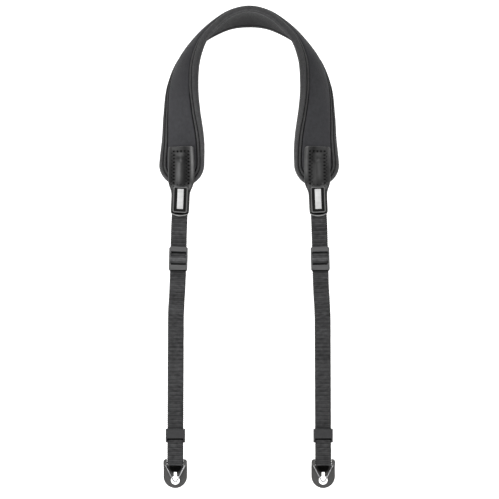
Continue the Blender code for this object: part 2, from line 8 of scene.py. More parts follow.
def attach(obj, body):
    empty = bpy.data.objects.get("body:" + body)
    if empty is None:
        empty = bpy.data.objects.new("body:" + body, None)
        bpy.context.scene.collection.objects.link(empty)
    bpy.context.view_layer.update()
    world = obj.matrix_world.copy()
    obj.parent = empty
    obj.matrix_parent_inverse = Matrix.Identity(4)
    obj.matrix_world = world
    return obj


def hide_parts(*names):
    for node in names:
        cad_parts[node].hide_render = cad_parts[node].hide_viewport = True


# Camera neck strap, worn. Metres, +Z up, front toward -Y, left leg at -X.
# Every piece is laid on the line that the solids follow.

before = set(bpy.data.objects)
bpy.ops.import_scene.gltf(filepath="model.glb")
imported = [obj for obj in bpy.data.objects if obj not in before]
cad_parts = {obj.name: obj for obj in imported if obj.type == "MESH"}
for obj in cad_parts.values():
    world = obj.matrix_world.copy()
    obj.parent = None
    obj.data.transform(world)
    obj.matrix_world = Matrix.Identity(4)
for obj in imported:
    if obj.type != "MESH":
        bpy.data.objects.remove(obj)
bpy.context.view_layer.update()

MM = 0.001

# Webbing, which sets the scale of everything else
WEB_WIDTH = 15.0 * MM
WEB_THICK = 1.1 * MM
GAP = 0.3 * MM
SIDE_GAP = 0.35 * MM
LAYER = (WEB_THICK + GAP) / 2
STACK = WEB_THICK + GAP / 2

# Lay line: the line that the middle of the webbing and of the leather tabs follows
HALF_SPAN = 70.6 * MM
LAY_DROP = 441.0 * MM

# Padded band
PAD_WIDTH = 43.4 * MM
PAD_HALF = PAD_WIDTH / 2
PAD_THICK = 6.4 * MM
PAD_DEPTH = 6.0 * MM
PAD_END_DOWN = 170.3 * MM
ARCH_RISE = 4.6 * MM
ROLL = 2.6 * MM
PANEL_INSET = 7.6 * MM
PANEL_HALF = PAD_HALF - PANEL_INSET
NECK_FACE = 0.93

# Leather tab that joins the band to the webbing
TAB_TOP_DOWN = 131.6 * MM
TAB_LENGTH = 66.8 * MM
TAB_HALF = 12.6 * MM
TAB_LEAN = 0.075
TAB_BACK = 1.5 * MM
TAB_FRONT = 2.9 * MM
POCKET_DEPTH = 26.0 * MM

# Label plate on the tab
LABEL_LENGTH = 24.7 * MM
LABEL_MARGIN = 3.0 * MM
LABEL_WIDTH = 13.6 * MM
LABEL_THICK = 0.9 * MM
# Rings of the plate from its back over the rim and the field to the top of the pale bar, in mm:
# inset, height over the plate's face, tone, narrowing, material (0 rim, 1 field, 2 bar)
# The tone is a painted highlight on the rim's crest and painted shade where the rim meets the field and
# at the foot of the bar
LABEL_PLAN = (
    (0.0, -LABEL_THICK / MM, 1.0, 0.0, 0),
    (0.0, -0.3, 1.0, 0.0, 0),
    (0.07, -0.08, 1.0, 0.0, 0),
    (0.25, 0.08, 1.1, 0.0, 0),
    (0.48, 0.12, 1.2, 0.0, 0),
    (0.7, 0.08, 1.1, 0.0, 0),
    (0.9, -0.08, 0.9, 0.0, 0),
    (1.0, -0.38, 0.5, 0.0, 1),
    (1.2, -0.5, 0.4, 0.0, 1),
    (1.9, -0.5, 0.5, 0.0, 1),
    (2.1, -0.5, 0.3, 1.75, 2),
    (2.15, -0.3, 1.0, 1.8, 2),
    (2.35, -0.2, 1.0, 1.8, 2),
)

# Three-bar slide
SLIDE_DOWN = 238.6 * MM
SLIDE_HALF = 8.9 * MM
BAR_BACK = STACK + GAP
BAR_FRONT = 3.6 * MM
CENTRE_BAR = 3.4 * MM
CENTRE_BACK = -0.4 * MM
CENTRE_FRONT = 1.2 * MM
SLOT = 4.7 * MM
OUTER_BAR = 4.6 * MM
SLIDE_LEDGE = 1.6 * MM
TAIL_MARGIN = 5.0 * MM

# Keeper loop
KEEPER_DOWN = 401.5 * MM
KEEPER_HEIGHT = 12.9 * MM
KEEPER_HALF = 9.3 * MM
KEEPER_WALL = 1.6 * MM
KEEPER_PLATE = 8.6 * MM
KEEPER_BACK_BAR = 7.4 * MM

# Triangular ring of two wire turns
RING_DOWN = 433.7 * MM
WIRE_RADIUS = 0.55 * MM
TURN_PITCH = 1.3 * MM
RING_HALF = 9.6 * MM
RING_HEIGHT = 20.2 * MM
RING_CORNER = 1.7 * MM

# Protective flap behind the ring
FLAP_HALF = 11.3 * MM
FLAP_ABOVE = 3.5 * MM
FLAP_BELOW = 24.6 * MM
FLAP_THICK = 1.8 * MM
FLAP_OFFSET = 2.4 * MM
HOLE_DOWN = 17.5 * MM
HOLE_RADIUS = 4.4 * MM
SLOT_HALF = 1.4 * MM
SLOT_TOP = 9.3 * MM

# Small forms that differ from the solids: the webbing's fold and the flap's cut above it, the play
# beside the webbing in the slide, the step behind the keeper's plate, a made-up dark ledge that
# stands for the shadow under the plate, and the keyhole
FOLD_FULLER = 0.15 * MM
FLAP_CUT = 2.85 * MM
WINDOW_PLAY = 0.08 * MM
KEEPER_SHADOW_STEP = 1.6 * MM
KEEPER_SHADOW_STEP_THICK = 0.4 * MM
KEYHOLE_RADIUS = 0.95 * HOLE_RADIUS
KEYHOLE_DOWN = HOLE_DOWN - 0.3 * MM

# Places in deep shadow: distance from the strap's middle and height, half width and half height
FOLD_SHADOW = ((HALF_SPAN, -433.6 * MM), (6.8 * MM, 6.6 * MM))
SLIDE_SHADOW = ((67.7 * MM, -246.6 * MM), (7.9 * MM, 0.9 * MM))
KEEPER_SHADOW = ((HALF_SPAN, -407.1 * MM), (7.9 * MM, 0.9 * MM))

# Rows of the lay line from the middle of the arch down one leg.
# out: share of HALF_SPAN, down: share of LAY_DROP, back: share of PAD_WIDTH,
# turn: degrees that the band faces the front rather than up or out, arch: share of ARCH_RISE
LAY_ROWS = (
    (0.0, 0.0, 0.0, -15.4, 0.98),
    (0.2544, 0.007, 0.0, -11.1, 0.94),
    (0.4999, 0.0281, 0.0, -2.3, 0.89),
    (0.7214, 0.0585, -0.0304, 7.3, 0.73),
    (0.8951, 0.1032, -0.1059, 23.9, 0.71),
    (0.9751, 0.1614, -0.1866, 40.2, 0.46),
    (0.9708, 0.2279, -0.2768, 53.9, 0.08),
    (0.929, 0.2898, -0.4005, 72.9, 0.0),
    (0.918, 0.3333, -0.454, 86.4, 0.0),
    (0.927, 0.403, -0.4561, 90.0, 0.0),
    (0.948, 0.4759, -0.4561, 90.0, 0.0),
    (0.96, 0.5539, -0.4561, 90.0, 0.0),
    (0.972, 0.6102, -0.4561, 90.0, 0.0),
    (0.984, 0.6426, -0.4561, 90.0, 0.0),
    (0.9915, 0.6709, -0.4561, 90.0, 0.0),
)


def lay_points():
    rows = [(x * HALF_SPAN, d * LAY_DROP, b * PAD_WIDTH, radians(t), a * ARCH_RISE)
            for x, d, b, t, a in LAY_ROWS]
    mirrored = [(-x, d, b, t, a) for x, d, b, t, a in rows[3:0:-1]]
    last = rows[-1]
    end = (HALF_SPAN, LAY_DROP, last[2], last[3], last[4])
    near = tuple(p + (q - p) * 0.08 for p, q in zip(last, end))
    return mirrored + rows + [near, end], len(mirrored)


def smooth_samples():
    rows, first = lay_points()
    knots = [0.0]
    for a, b in zip(rows, rows[1:]):
        step = sqrt(sum((b[i] - a[i]) ** 2 for i in range(3)))
        knots.append(knots[-1] + step)
    knots = [k - knots[first] for k in knots]

    def slope(i, c):
        if i == len(rows) - 1:
            return (rows[-1][c] - rows[-2][c]) / (knots[-1] - knots[-2])
        h0 = knots[i] - knots[i - 1]
        h1 = knots[i + 1] - knots[i]
        d0 = (rows[i][c] - rows[i - 1][c]) / h0
        d1 = (rows[i + 1][c] - rows[i][c]) / h1
        return (d0 * h1 + d1 * h0) / (h0 + h1)

    samples = []
    per_row = 40
    for i in range(first, len(rows) - 1):
        h = knots[i + 1] - knots[i]
        for j in range(per_row):
            t = j / per_row
            value = []
            for c in range(5):
                a, b = rows[i][c], rows[i + 1][c]
                m, n = slope(i, c) * h, slope(i + 1, c) * h
                value.append((2 * t ** 3 - 3 * t ** 2 + 1) * a + (t ** 3 - 2 * t ** 2 + t) * m
                             + (3 * t ** 2 - 2 * t ** 3) * b + (t ** 3 - t ** 2) * n)
            samples.append(value)
    samples.append(list(rows[-1]))
    return samples


# The lay line's top sits so that the neck side of the band meets the origin
SAMPLES = smooth_samples()
TOP_HEIGHT = PAD_DEPTH + NECK_FACE * PAD_THICK / 2 - SAMPLES[0][4]
LAY_TOP_Z = TOP_HEIGHT * cos(SAMPLES[0][3])
LAY_TOP_Y = -TOP_HEIGHT * sin(SAMPLES[0][3])
POINTS = [Vector((v[0], LAY_TOP_Y + v[2], LAY_TOP_Z - v[1])) for v in SAMPLES]
LENGTHS = [0.0]
for p, q in zip(POINTS, POINTS[1:]):
    LENGTHS.append(LENGTHS[-1] + (q - p).length)


def along(down):
    """Length along the lay line at a given drop below its top."""
    for i in range(1, len(SAMPLES)):
        if SAMPLES[i][1] >= down:
            a, b = SAMPLES[i - 1][1], SAMPLES[i][1]
            t = (down - a) / (b - a)
            return LENGTHS[i - 1] + (LENGTHS[i] - LENGTHS[i - 1]) * t
    return LENGTHS[-1] + (down - SAMPLES[-1][1])


def frame_of(s):
    """Point, down-the-strap, across and outward directions at length s, and the arch there."""
    if s >= LENGTHS[-1]:
        tangent = (POINTS[-1] - POINTS[-2]).normalized()
        point = POINTS[-1] + tangent * (s - LENGTHS[-1])
        turn, arch = SAMPLES[-1][3], SAMPLES[-1][4]
    else:
        high = bisect(LENGTHS, s)
        low = high - 1
        t = (s - LENGTHS[low]) / (LENGTHS[high] - LENGTHS[low])
        point = POINTS[low].lerp(POINTS[high], t)
        turn = SAMPLES[low][3] + (SAMPLES[high][3] - SAMPLES[low][3]) * t
        arch = SAMPLES[low][4] + (SAMPLES[high][4] - SAMPLES[low][4]) * t
        before = POINTS[low - 1] if low else Vector((-POINTS[1].x, POINTS[1].y, POINTS[1].z))
        after = POINTS[min(high + 1, len(POINTS) - 1)]
        t0 = (POINTS[high] - before).normalized()
        t1 = (after - POINTS[low]).normalized()
        tangent = t0.lerp(t1, t).normalized()
    outward = Vector((-tangent.z, 0.0, tangent.x)).normalized()
    across = Vector((0, 1, 0)) * cos(turn) + outward * sin(turn)
    across = (across - tangent * across.dot(tangent)).normalized()
    normal = across.cross(tangent).normalized()
    if normal.dot(outward * cos(turn) - Vector((0, 1, 0)) * sin(turn)) < 0:
        normal = -normal
    return point, tangent, across, normal, arch


FRAMES = {}


def frame_at(s):
    key = round(abs(s) * 1e7)
    if key not in FRAMES:
        FRAMES[key] = frame_of(abs(s))
    return FRAMES[key]


def bent(s, u, n):
    """A point of the flat pattern laid onto the hanging shape; s < 0 is the left leg."""
    point, _, across, normal, arch = frame_at(s)
    crown = arch * (1 - (u / (PAD_HALF - ROLL)) ** 2)
    p = point + across * u + normal * (n + crown)
    if s < 0:
        p.x = -p.x
    return p


def stiff(side, s0):
    """Placing for a hard piece whose own origin sits on the lay line at length s0."""
    point, tangent, across, normal, _ = frame_at(s0)

    def put(s, u, n):
        p = point + tangent * s + across * u + normal * n
        p.x *= side
        return p
    return put


def smooth_row(rows, parts):
    """Catmull-Rom points through a list of equal tuples, end points kept."""
    out = []
    last = len(rows) - 1
    for i in range(last):
        a, b = rows[i], rows[i + 1]
        before = rows[i - 1] if i > 0 else tuple(2 * p - q for p, q in zip(a, b))
        after = rows[i + 2] if i + 2 <= last else tuple(2 * q - p for p, q in zip(a, b))
        for k in range(parts):
            t = k / parts
            out.append(tuple(
                0.5 * (2 * q + (r - p) * t + (2 * p - 5 * q + 4 * r - w) * t * t
                       + (3 * q - p - 3 * r + w) * t ** 3)
                for p, q, r, w in zip(before, a, b, after)))
    out.append(tuple(rows[-1]))
    return out


def look_up(rows, x):
    """Straight interpolation of (position, value) rows whose positions rise."""
    if x <= rows[0][0]:
        return rows[0][1]
    for (x0, y0), (x1, y1) in zip(rows, rows[1:]):
        if x <= x1:
            t = (x - x0) / (x1 - x0)
            return y0 + (y1 - y0) * t
    return rows[-1][1]


def ease(x, low, high):
    t = min(max((x - low) / (high - low), 0.0), 1.0)
    return t * t * (3 - 2 * t)


def bell(x, width):
    return exp(-(x / width) ** 2)


# Materials


class Shade:
    """Small helper that writes a node tree one node at a time."""

    def __init__(self, name, colour, roughness, metallic=0.0):
        self.mat = bpy.data.materials.new(name)
        self.mat.use_nodes = True
        self.tree = self.mat.node_tree
        self.bsdf = self.tree.nodes["Principled BSDF"]
        self.put("Base Color", (*colour, 1.0))
        self.put("Roughness", roughness)
        self.put("Metallic", metallic)

    def feed(self, socket, value):
        """Link another node's output to a socket, or set the socket's own value."""
        if isinstance(value, bpy.types.NodeSocket):
            self.tree.links.new(value, socket)
        else:
            socket.default_value = value

    def put(self, name, value):
        """Feed one input of the surface itself."""
        self.feed(self.bsdf.inputs[name], value)

    def node(self, kind, inputs=None, **settings):
        made = self.tree.nodes.new("ShaderNode" + kind)
        for key, value in settings.items():
            setattr(made, key, value)
        for key, value in (inputs or {}).items():
            self.feed(made.inputs[key], value)
        return made

    def place(self, scale=(1.0, 1.0, 1.0)):
        where = self.node("TexCoord").outputs["Object"]
        return self.node("Mapping", {"Scale": scale, "Vector": where}).outputs["Vector"]

    def split(self, vector):
        return list(self.node("SeparateXYZ", {0: vector}).outputs)

    def flat(self):
        """Millimetres along and across the flat pattern."""
        return self.split(self.node("UVMap").outputs["UV"])[:2]

    def math(self, kind, *values):
        return self.node("Math", dict(enumerate(values)), operation=kind).outputs[0]

    def times(self, a, b):
        return self.math("MULTIPLY", a, b)

    def plus(self, a, b):
        return self.math("ADD", a, b)

    def wave(self, value, pitch):
        return self.math("SINE", self.times(value, 2 * pi / pitch))

    def noise(self, where, scale, detail=2.0, rough=0.5):
        inputs = {"Vector": where, "Scale": scale, "Detail": detail, "Roughness": rough}
        return self.node("TexNoise", inputs).outputs["Fac"]

    def cells(self, where, scale):
        inputs = {"Vector": where, "Scale": scale, "Smoothness": 0.6}
        return self.node("TexVoronoi", inputs, feature="SMOOTH_F1").outputs["Distance"]

    def spread(self, value, to_low, to_high, low=0.3, high=0.7):
        """Map low..high onto to_low..to_high; noise covers about 0.3 to 0.7."""
        inputs = {"Value": value, "From Min": low, "From Max": high, "To Min": to_low, "To Max": to_high}
        return self.node("MapRange", inputs).outputs["Result"]

    def tone(self):
        return self.node("Attribute", attribute_name="tone").outputs["Fac"]

    def colour(self, base, factor):
        """Base colour times a factor that varies over the surface."""
        made = self.node("VectorMath", {0: base, "Scale": factor}, operation="SCALE")
        self.put("Base Color", made.outputs["Vector"])

    def fade(self, name, level):
        """Let a gloss input die away where the tone is dark, as in a seam or a needle hole."""
        self.put(name, self.times(self.math("MINIMUM", self.tone(), 1.0), level))

    def darken(self, factor, where, shadow, power, level):
        """Painted shadow: take colour and gloss down to level inside a rounded patch on each leg."""
        x, _, z = self.split(where)
        away = []
        for value, middle, reach in zip((self.math("ABSOLUTE", x), z), *shadow):
            share = self.math("DIVIDE", self.math("SUBTRACT", value, middle), reach)
            away.append(self.math("POWER", self.math("ABSOLUTE", share), power))
        clear = self.spread(self.plus(*away), level, 1.0, 0.55, 1.25)
        self.put("Specular IOR Level", self.times(clear, 0.5))
        return self.times(factor, clear)

    def bump(self, height, strength, distance):
        made = self.node("Bump", {"Strength": strength, "Distance": distance, "Height": height})
        self.put("Normal", made.outputs["Normal"])


def knit_material(name, base, roughness, sheen, grain):
    """Fine knit over foam: small stitches along the strap, soft fuzz, faint large mottling."""
    shade = Shade(name, base, roughness)
    where = shade.place()
    s, u = shade.flat()
    shift = shade.times(shade.wave(s, 1.6), 0.25)
    loop_u = shade.wave(shade.plus(u, shift), 0.9)
    loop_s = shade.wave(s, 0.8)
    knit = shade.plus(shade.times(loop_u, 0.5), shade.times(loop_s, 0.35))
    fuzz = shade.noise(where, 2600, 3.0, 0.6)
    mottle = shade.noise(where, 260, 4.0, 0.6)
    fine = shade.noise(where, 900)
    factor = shade.plus(shade.spread(mottle, 0.84, 1.16), shade.spread(fine, -grain, grain))
    shade.colour(base, shade.times(factor, shade.tone()))
    shade.put("Roughness", shade.spread(fuzz, roughness - 0.08, roughness + 0.06))
    shade.fade("Sheen Weight", sheen)
    shade.fade("Specular IOR Level", 0.25)
    shade.put("Sheen Roughness", 0.5)
    shade.bump(shade.plus(knit, shade.times(fuzz, 1.6)), 0.45, 0.00014)
    return shade.mat


def leather_material(name, base, roughness, pebble, strength, shadow=None):
    """Grained leather: pebbles, fine pores, polish that varies, painted highlights and painted shade by
    tone.
    """
    shade = Shade(name, base, roughness)
    where = shade.place()
    warp = shade.noise(where, 500)
    grain = shade.times(shade.cells(where, pebble), 1.2)
    pores = shade.times(shade.noise(where, 3200, 2.0, 0.7), 0.35)
    height = shade.plus(shade.plus(grain, pores), shade.times(warp, 0.8))
    factor = shade.spread(shade.noise(where, 140, 3.0), 0.85, 1.15)
    shade.put("Roughness", shade.spread(warp, roughness - 0.06, roughness + 0.08))
    if shadow:
        factor = shade.darken(factor, where, shadow, 2.0, 0.05)
    else:
        shade.fade("Specular IOR Level", 0.5)
    shade.colour(base, shade.times(factor, shade.tone()))
    shade.bump(height, strength, 0.00012)
    return shade.mat


def webbing_material(name, base):
    """Ribbed polyester: warp yarns that pass over and under the ribs in turn."""
    shade = Shade(name, base, 0.62)
    where = shade.place()
    s, u = shade.flat()
    row = shade.math("FLOOR", shade.math("DIVIDE", s, RIB_PITCH))
    odd = shade.times(shade.math("PINGPONG", row, 1.0), 0.5)
    across = shade.plus(shade.math("DIVIDE", u, YARN_PITCH), odd)
    yarn = shade.math("ABSOLUTE", shade.math("SINE", shade.times(across, pi)))
    fibre = shade.noise(where, 5200, 2.0, 0.6)
    patch = shade.noise(where, 330, 3.0, 0.6)
    factor = shade.plus(shade.spread(yarn, 0.62, 1.12, 0.0, 1.0), shade.spread(patch, -0.16, 0.16))
    shade.colour(base, shade.times(factor, shade.tone()))
    shade.put("Roughness", shade.spread(fibre, 0.52, 0.70))
    shade.fade("Specular IOR Level", 0.3)
    shade.bump(shade.plus(yarn, shade.times(fibre, 0.5)), 0.6, 0.00018)
    return shade.mat


def plastic_material(name, base, roughness, shadow=None):
    """Moulded plastic: fine spark-eroded texture and faint flow marks."""
    shade = Shade(name, base, roughness)
    where = shade.place()
    fine = shade.noise(where, 4200, 3.0, 0.6)
    flow = shade.noise(shade.place((60, 60, 220)), 1.0, 3.0)
    factor = shade.spread(flow, 0.90, 1.12)
    if shadow:
        factor = shade.darken(factor, where, shadow, 8.0, 0.06)
    shade.colour(base, factor)
    shade.put("Roughness", shade.spread(fine, roughness - 0.07, roughness + 0.07))
    shade.bump(fine, 0.25, 0.00005)
    return shade.mat


def steel_material(name, base):
    """Bright plated wire with fine drawing marks."""
    shade = Shade(name, base, 0.22, 1.0)
    marks = shade.noise(shade.place((900, 900, 120)), 1.0, 3.0)
    shade.put("Roughness", shade.spread(marks, 0.18, 0.34))
    shade.colour(base, shade.spread(shade.noise(shade.place(), 700), 0.9, 1.0))
    shade.bump(marks, 0.1, 0.00003)
    return shade.mat


# Millimetres from rib to rib along the webbing, and from yarn to yarn across it
RIB_PITCH = 1.9
YARN_PITCH = 1.25

KNIT = knit_material("padding_knit", (0.040, 0.040, 0.041), 0.82, 0.16, 0.24)
PANEL = knit_material("panel_knit", (0.026, 0.026, 0.029), 0.78, 0.10, 0.05)
LEATHER = leather_material("tab_leather", (0.014, 0.014, 0.014), 0.46, 1500, 0.35)
FLAP = leather_material("flap_leather", (0.046, 0.045, 0.044), 0.52, 1300, 0.35, FOLD_SHADOW)
THREAD = leather_material("thread", (0.010, 0.010, 0.010), 0.70, 3000, 0.5)
WEBBING = webbing_material("webbing_weave", (0.033, 0.033, 0.034))
PLASTIC = plastic_material("moulded_plastic", (0.072, 0.072, 0.073), 0.50, SLIDE_SHADOW)
KEEPER = plastic_material("keeper_plastic", (0.019, 0.019, 0.020), 0.55, KEEPER_SHADOW)
RIM = plastic_material("label_rim", (0.095, 0.095, 0.095), 0.46)
FIELD = plastic_material("label_field", (0.006, 0.006, 0.006), 0.50)
FIELD.node_tree.nodes["Principled BSDF"].inputs["Specular IOR Level"].default_value = 0.12
BAR = plastic_material("label_bar", (0.50, 0.50, 0.50), 0.55)
STEEL = steel_material("plated_wire", (0.40, 0.40, 0.41))


# Mesh helpers


class Skin:
    """Vertices with a tone and a flat coordinate each, and the faces between them."""

    def __init__(self):
        self.points = []
        self.tones = []
        self.flats = []
        self.faces = []
        self.mats = []

    def add(self, p, tone=1.0, flat=(0.0, 0.0)):
        self.points.append(tuple(p))
        self.tones.append(tone)
        self.flats.append(flat)
        return len(self.points) - 1

    def face(self, loop, mat=0):
        kept = list(dict.fromkeys(loop))
        if len(kept) > 2:
            self.faces.append(kept)
            self.mats.append(mat)

    def finish(self, name, mats, sharp, weld=1e-7):
        mesh = bpy.data.meshes.new(name)
        mesh.from_pydata(self.points, [], self.faces)
        tone = mesh.attributes.new("tone", "FLOAT", "POINT")
        tone.data.foreach_set("value", self.tones)
        layer = mesh.uv_layers.new(name="UVMap")
        for loop in mesh.loops:
            layer.data[loop.index].uv = self.flats[loop.vertex_index]
        for mat in mats:
            mesh.materials.append(mat)
        mesh.polygons.foreach_set("material_index", self.mats)
        work = bmesh.new()
        work.from_mesh(mesh)
        bmesh.ops.remove_doubles(work, verts=work.verts, dist=weld)
        bmesh.ops.recalc_face_normals(work, faces=work.faces)
        for face in work.faces:
            face.smooth = True
        for edge in work.edges:
            if len(edge.link_faces) == 2 and edge.calc_face_angle(0) > radians(sharp):
                edge.smooth = False
        work.to_mesh(mesh)
        work.free()
        obj = bpy.data.objects.new(name, mesh)
        bpy.context.scene.collection.objects.link(obj)
        return obj


def sweep(skin, rings):
    """Join equal closed rings of (point, tone, flat) into a tube and close its ends."""
    ids = [[skin.add(*vertex) for vertex in ring] for ring in rings]
    for a, b in zip(ids, ids[1:]):
        for i in range(len(a)):
            j = (i + 1) % len(a)
            skin.face([a[i], b[i], b[j], a[j]])
    skin.face(ids[0])
    skin.face(ids[-1][::-1])


def settle(obj, body, slot, *nodes):
    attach(obj, body)
    if nodes:
        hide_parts(*nodes)


# Padded band


def band(name, mats, length_half, radius, section, step, tips, shape):
    """Band with round ends. section: (inset, height, tone) out round one edge; shape adds waviness."""
    centre = length_half - radius
    count = round(2 * centre / step)
    stations = [(-centre, -pi / 2 * (tips - i) / tips) for i in range(tips)]
    stations += [(-centre + 2 * centre * i / count, 0.0) for i in range(count + 1)]
    stations += [(centre, pi / 2 * (i + 1) / tips) for i in range(tips)]
    skin = Skin()
    grid = {-1: [], 1: []}
    for s0, turn in stations:
        for side in (-1, 1):
            row = []
            for inset, height, tone in section:
                reach = max(radius - inset, 0.0)
                s = s0 + reach * sin(turn)
                u = side * reach * cos(turn)
                du, dn, tone_here = shape(s, u, inset, height, side, tone)
                p = bent(s, u + du, height + dn - PAD_DEPTH)
                row.append(skin.add(p, tone_here, (s / MM, u / MM)))
            grid[side].append(row)
    for side in (-1, 1):
        for a, b in zip(grid[side], grid[side][1:]):
            for i in range(len(section) - 1):
                skin.face([a[i], b[i], b[i + 1], a[i + 1]])
    return skin.finish(name, mats, 75, 2e-6)


def section_of(table, unit, half):
    """Section rows in metres, out round one edge, that start and end on the band's middle line."""
    rows = [(min(i * unit, half), h * PAD_THICK / 2, t) for i, h, t in smooth_row(table, 3)]
    rows[0] = (half, *rows[0][1:])
    rows[-1] = (half, *rows[-1][1:])
    return rows


# inset: share of PANEL_INSET, height: share of half of PAD_THICK, tone: darker in the seams
# The tone is painted shade in the seams and on the neck side, and a painted highlight on the rolls'
# crests
PAD_SECTION = (
    (2.855, -0.93, 0.6), (2.2, -0.93, 0.6), (1.7, -0.93, 0.6), (1.3, -0.92, 0.6),
    (0.95, -0.91, 0.6), (0.7, -0.88, 0.58), (0.58, -0.8, 0.55), (0.53, -0.74, 0.3),
    (0.48, -0.82, 0.55), (0.4, -0.93, 0.95), (0.26, -0.98, 1.0), (0.11, -0.82, 1.0),
    (0.03, -0.45, 1.0), (0.0, 0.0, 1.0), (0.02, 0.34, 1.05), (0.06, 0.62, 1.1),
    (0.115, 0.82, 1.15), (0.18, 0.95, 1.15), (0.27, 1.01, 1.12), (0.36, 0.99, 1.0),
    (0.43, 0.92, 0.85), (0.475, 0.78, 0.55), (0.503, 0.56, 0.38), (0.525, 0.44, 0.28),
    (0.547, 0.56, 0.38), (0.575, 0.76, 0.62), (0.62, 0.87, 0.88), (0.69, 0.93, 1.05),
    (0.75, 0.94, 1.05), (0.805, 0.91, 0.92), (0.855, 0.84, 0.72), (0.89, 0.72, 0.42),
    (0.92, 0.58, 0.24), (0.96, 0.5, 0.2), (1.2, 0.38, 0.3), (2.0, 0.38, 0.3),
    (2.855, 0.38, 0.3),
)
PAD_LENGTH_HALF = along(PAD_END_DOWN)
FLAT_SEAM = (along(76 * MM), along(90 * MM))


def pad_shape(s, u, inset, height, side, tone):
    """Soft unevenness of foam under a seam: the rolls breathe a little between stitches."""
    wave = noise.noise(Vector((s * 55, u * 30, 4.0)))
    fine = noise.noise(Vector((s * 230, u * 160, 9.0)))
    share = inset / PANEL_INSET
    roll = bell(share - 0.22, 0.2)
    seam = bell(share - 0.525, 0.06) + bell(share - 0.93, 0.05)
    stitch = 0.5 + 0.5 * sin(2 * pi * s / (2.6 * MM))
    dn = (0.12 * wave + 0.08 * fine) * roll * MM - 0.10 * MM * seam * stitch
    du = -side * 0.14 * MM * (wave + 0.5 * fine) * bell(inset, 3 * MM)
    if height < 0:
        return du, 0.12 * MM * wave * (1 - bell(inset, 5 * MM)), tone
    # Over the arch the second seam on the inner side is drawn nearly flat
    shallow = (1 - ease(abs(s), FLAT_SEAM[0], FLAT_SEAM[1])) if side < 0 and share < 0.97 else 0.0
    shallow *= ease(share, 0.78, 0.86)
    dn += shallow * 0.8 * (0.90 * PAD_THICK / 2 - height)
    tone += shallow * (0.75 - tone)
    # Painted shade: the band is darker toward the top of the arch
    wear_and_painted_shade = 0.72 + 0.28 * ease(abs(s), 100 * MM, 165 * MM)
    return du, dn, tone * (1.0 - 0.25 * seam * stitch) * wear_and_painted_shade


pad = band("padded_band", [KNIT], PAD_LENGTH_HALF, PAD_HALF,
           section_of(PAD_SECTION, PANEL_INSET, PAD_HALF), 1.3 * MM, 30, pad_shape)
settle(pad, "strap", "padding", "neck_pad")

# inset: share of PANEL_HALF, height and tone as above
# The tone is painted shade at the foot of the panel's edge
PANEL_SECTION = (
    (1.0, 0.6, 0.5), (0.5, 0.6, 0.5), (0.08, 0.6, 0.4), (0.01, 0.64, 0.4), (0.0, 0.74, 0.7),
    (0.01, 0.86, 0.95), (0.035, 0.97, 1.05), (0.08, 1.05, 1.05), (0.15, 1.11, 1.0), (0.26, 1.16, 1.0),
    (0.42, 1.2, 1.0), (0.62, 1.23, 1.0), (0.82, 1.245, 1.0), (1.0, 1.25, 1.0),
)


def panel_shape(s, u, inset, height, side, tone):
    wave = noise.noise(Vector((s * 45, u * 60, 1.0)))
    fine = noise.noise(Vector((s * 120, u * 200, 5.0)))
    inner = 1 - bell(inset, 2.5 * MM)
    if height < 0.7 * PAD_THICK / 2:
        return 0.0, 0.0, tone
    # Painted shade: the panel is darker toward the top of the arch
    wear_and_painted_shade = 0.70 + 0.30 * ease(abs(s), 80 * MM, 150 * MM)
    return 0.0, (0.10 * wave + 0.04 * fine) * inner * MM, tone * wear_and_painted_shade * (1.0 + 0.08 * wave)


panel = band("centre_panel", [PANEL], PAD_LENGTH_HALF - PANEL_INSET, PANEL_HALF,
             section_of(PANEL_SECTION, PANEL_HALF, PANEL_HALF), 1.5 * MM, 20, panel_shape)
settle(panel, "strap", "panel", "pad_panel")

# Leather tabs

TAB_TOP = along(TAB_TOP_DOWN)
STITCH_PITCH = 3.4 * MM
STITCH_U = 7.1 * MM
STITCH_TOP = 5.2 * MM
COLUMN_COUNT = 10


def stitch_marks():
    """Needle holes in the tab's flat pattern: (down, across) pairs in sewing order."""
    left = [(STITCH_TOP + k * STITCH_PITCH, -STITCH_U) for k in range(COLUMN_COUNT, -1, -1)]
    top = [(STITCH_TOP, -STITCH_U + 2 * STITCH_U * k / 4) for k in range(1, 4)]
    right = [(STITCH_TOP + k * STITCH_PITCH, STITCH_U) for k in range(COLUMN_COUNT + 1)]
    low = [(37.0 * MM, (k - 2) * 3.3 * MM) for k in range(5)]
    return [left + top + right, low]


# Needle holes with their size: the seam's own, and smaller ones beside it from the stitches' far ends
HOLES = [(d, u, 1.0 if d < 36 * MM else 0.6) for run in stitch_marks() for d, u in run]
HOLES += [(STITCH_TOP + (k + 0.5) * STITCH_PITCH, u, 0.62) for k in range(COLUMN_COUNT)
          for u in (STITCH_U + 1.9 * MM, 2.2 * MM - STITCH_U)]

# down: share of TAB_LENGTH, half: share of TAB_HALF
TAB_WIDTHS = smooth_row((
    (0.06, 1.0), (0.2, 1.0), (0.4, 1.0), (0.48, 1.0), (0.53, 0.965), (0.58, 0.885), (0.63, 0.78),
    (0.68, 0.715), (0.74, 0.7), (0.85, 0.7), (0.94, 0.695), (0.975, 0.675), (1.0, 0.64)), 6)
CORNER = 3.2 * MM
EDGE_ROUND = 0.55 * MM
# Height of the leather's face where the webbing lies under it, a little softer than the solid's
FACE = 2.75 * MM
STITCH_RADIUS = 0.26 * MM


def tab_half(d):
    if d < CORNER:
        return TAB_HALF - CORNER + sqrt(max(CORNER ** 2 - (CORNER - d) ** 2, 0.0))
    return look_up(TAB_WIDTHS, d / TAB_LENGTH) * TAB_HALF


def tab_lean(d):
    return TAB_LEAN * max(1 - d / (0.2 * TAB_LENGTH), 0.0)


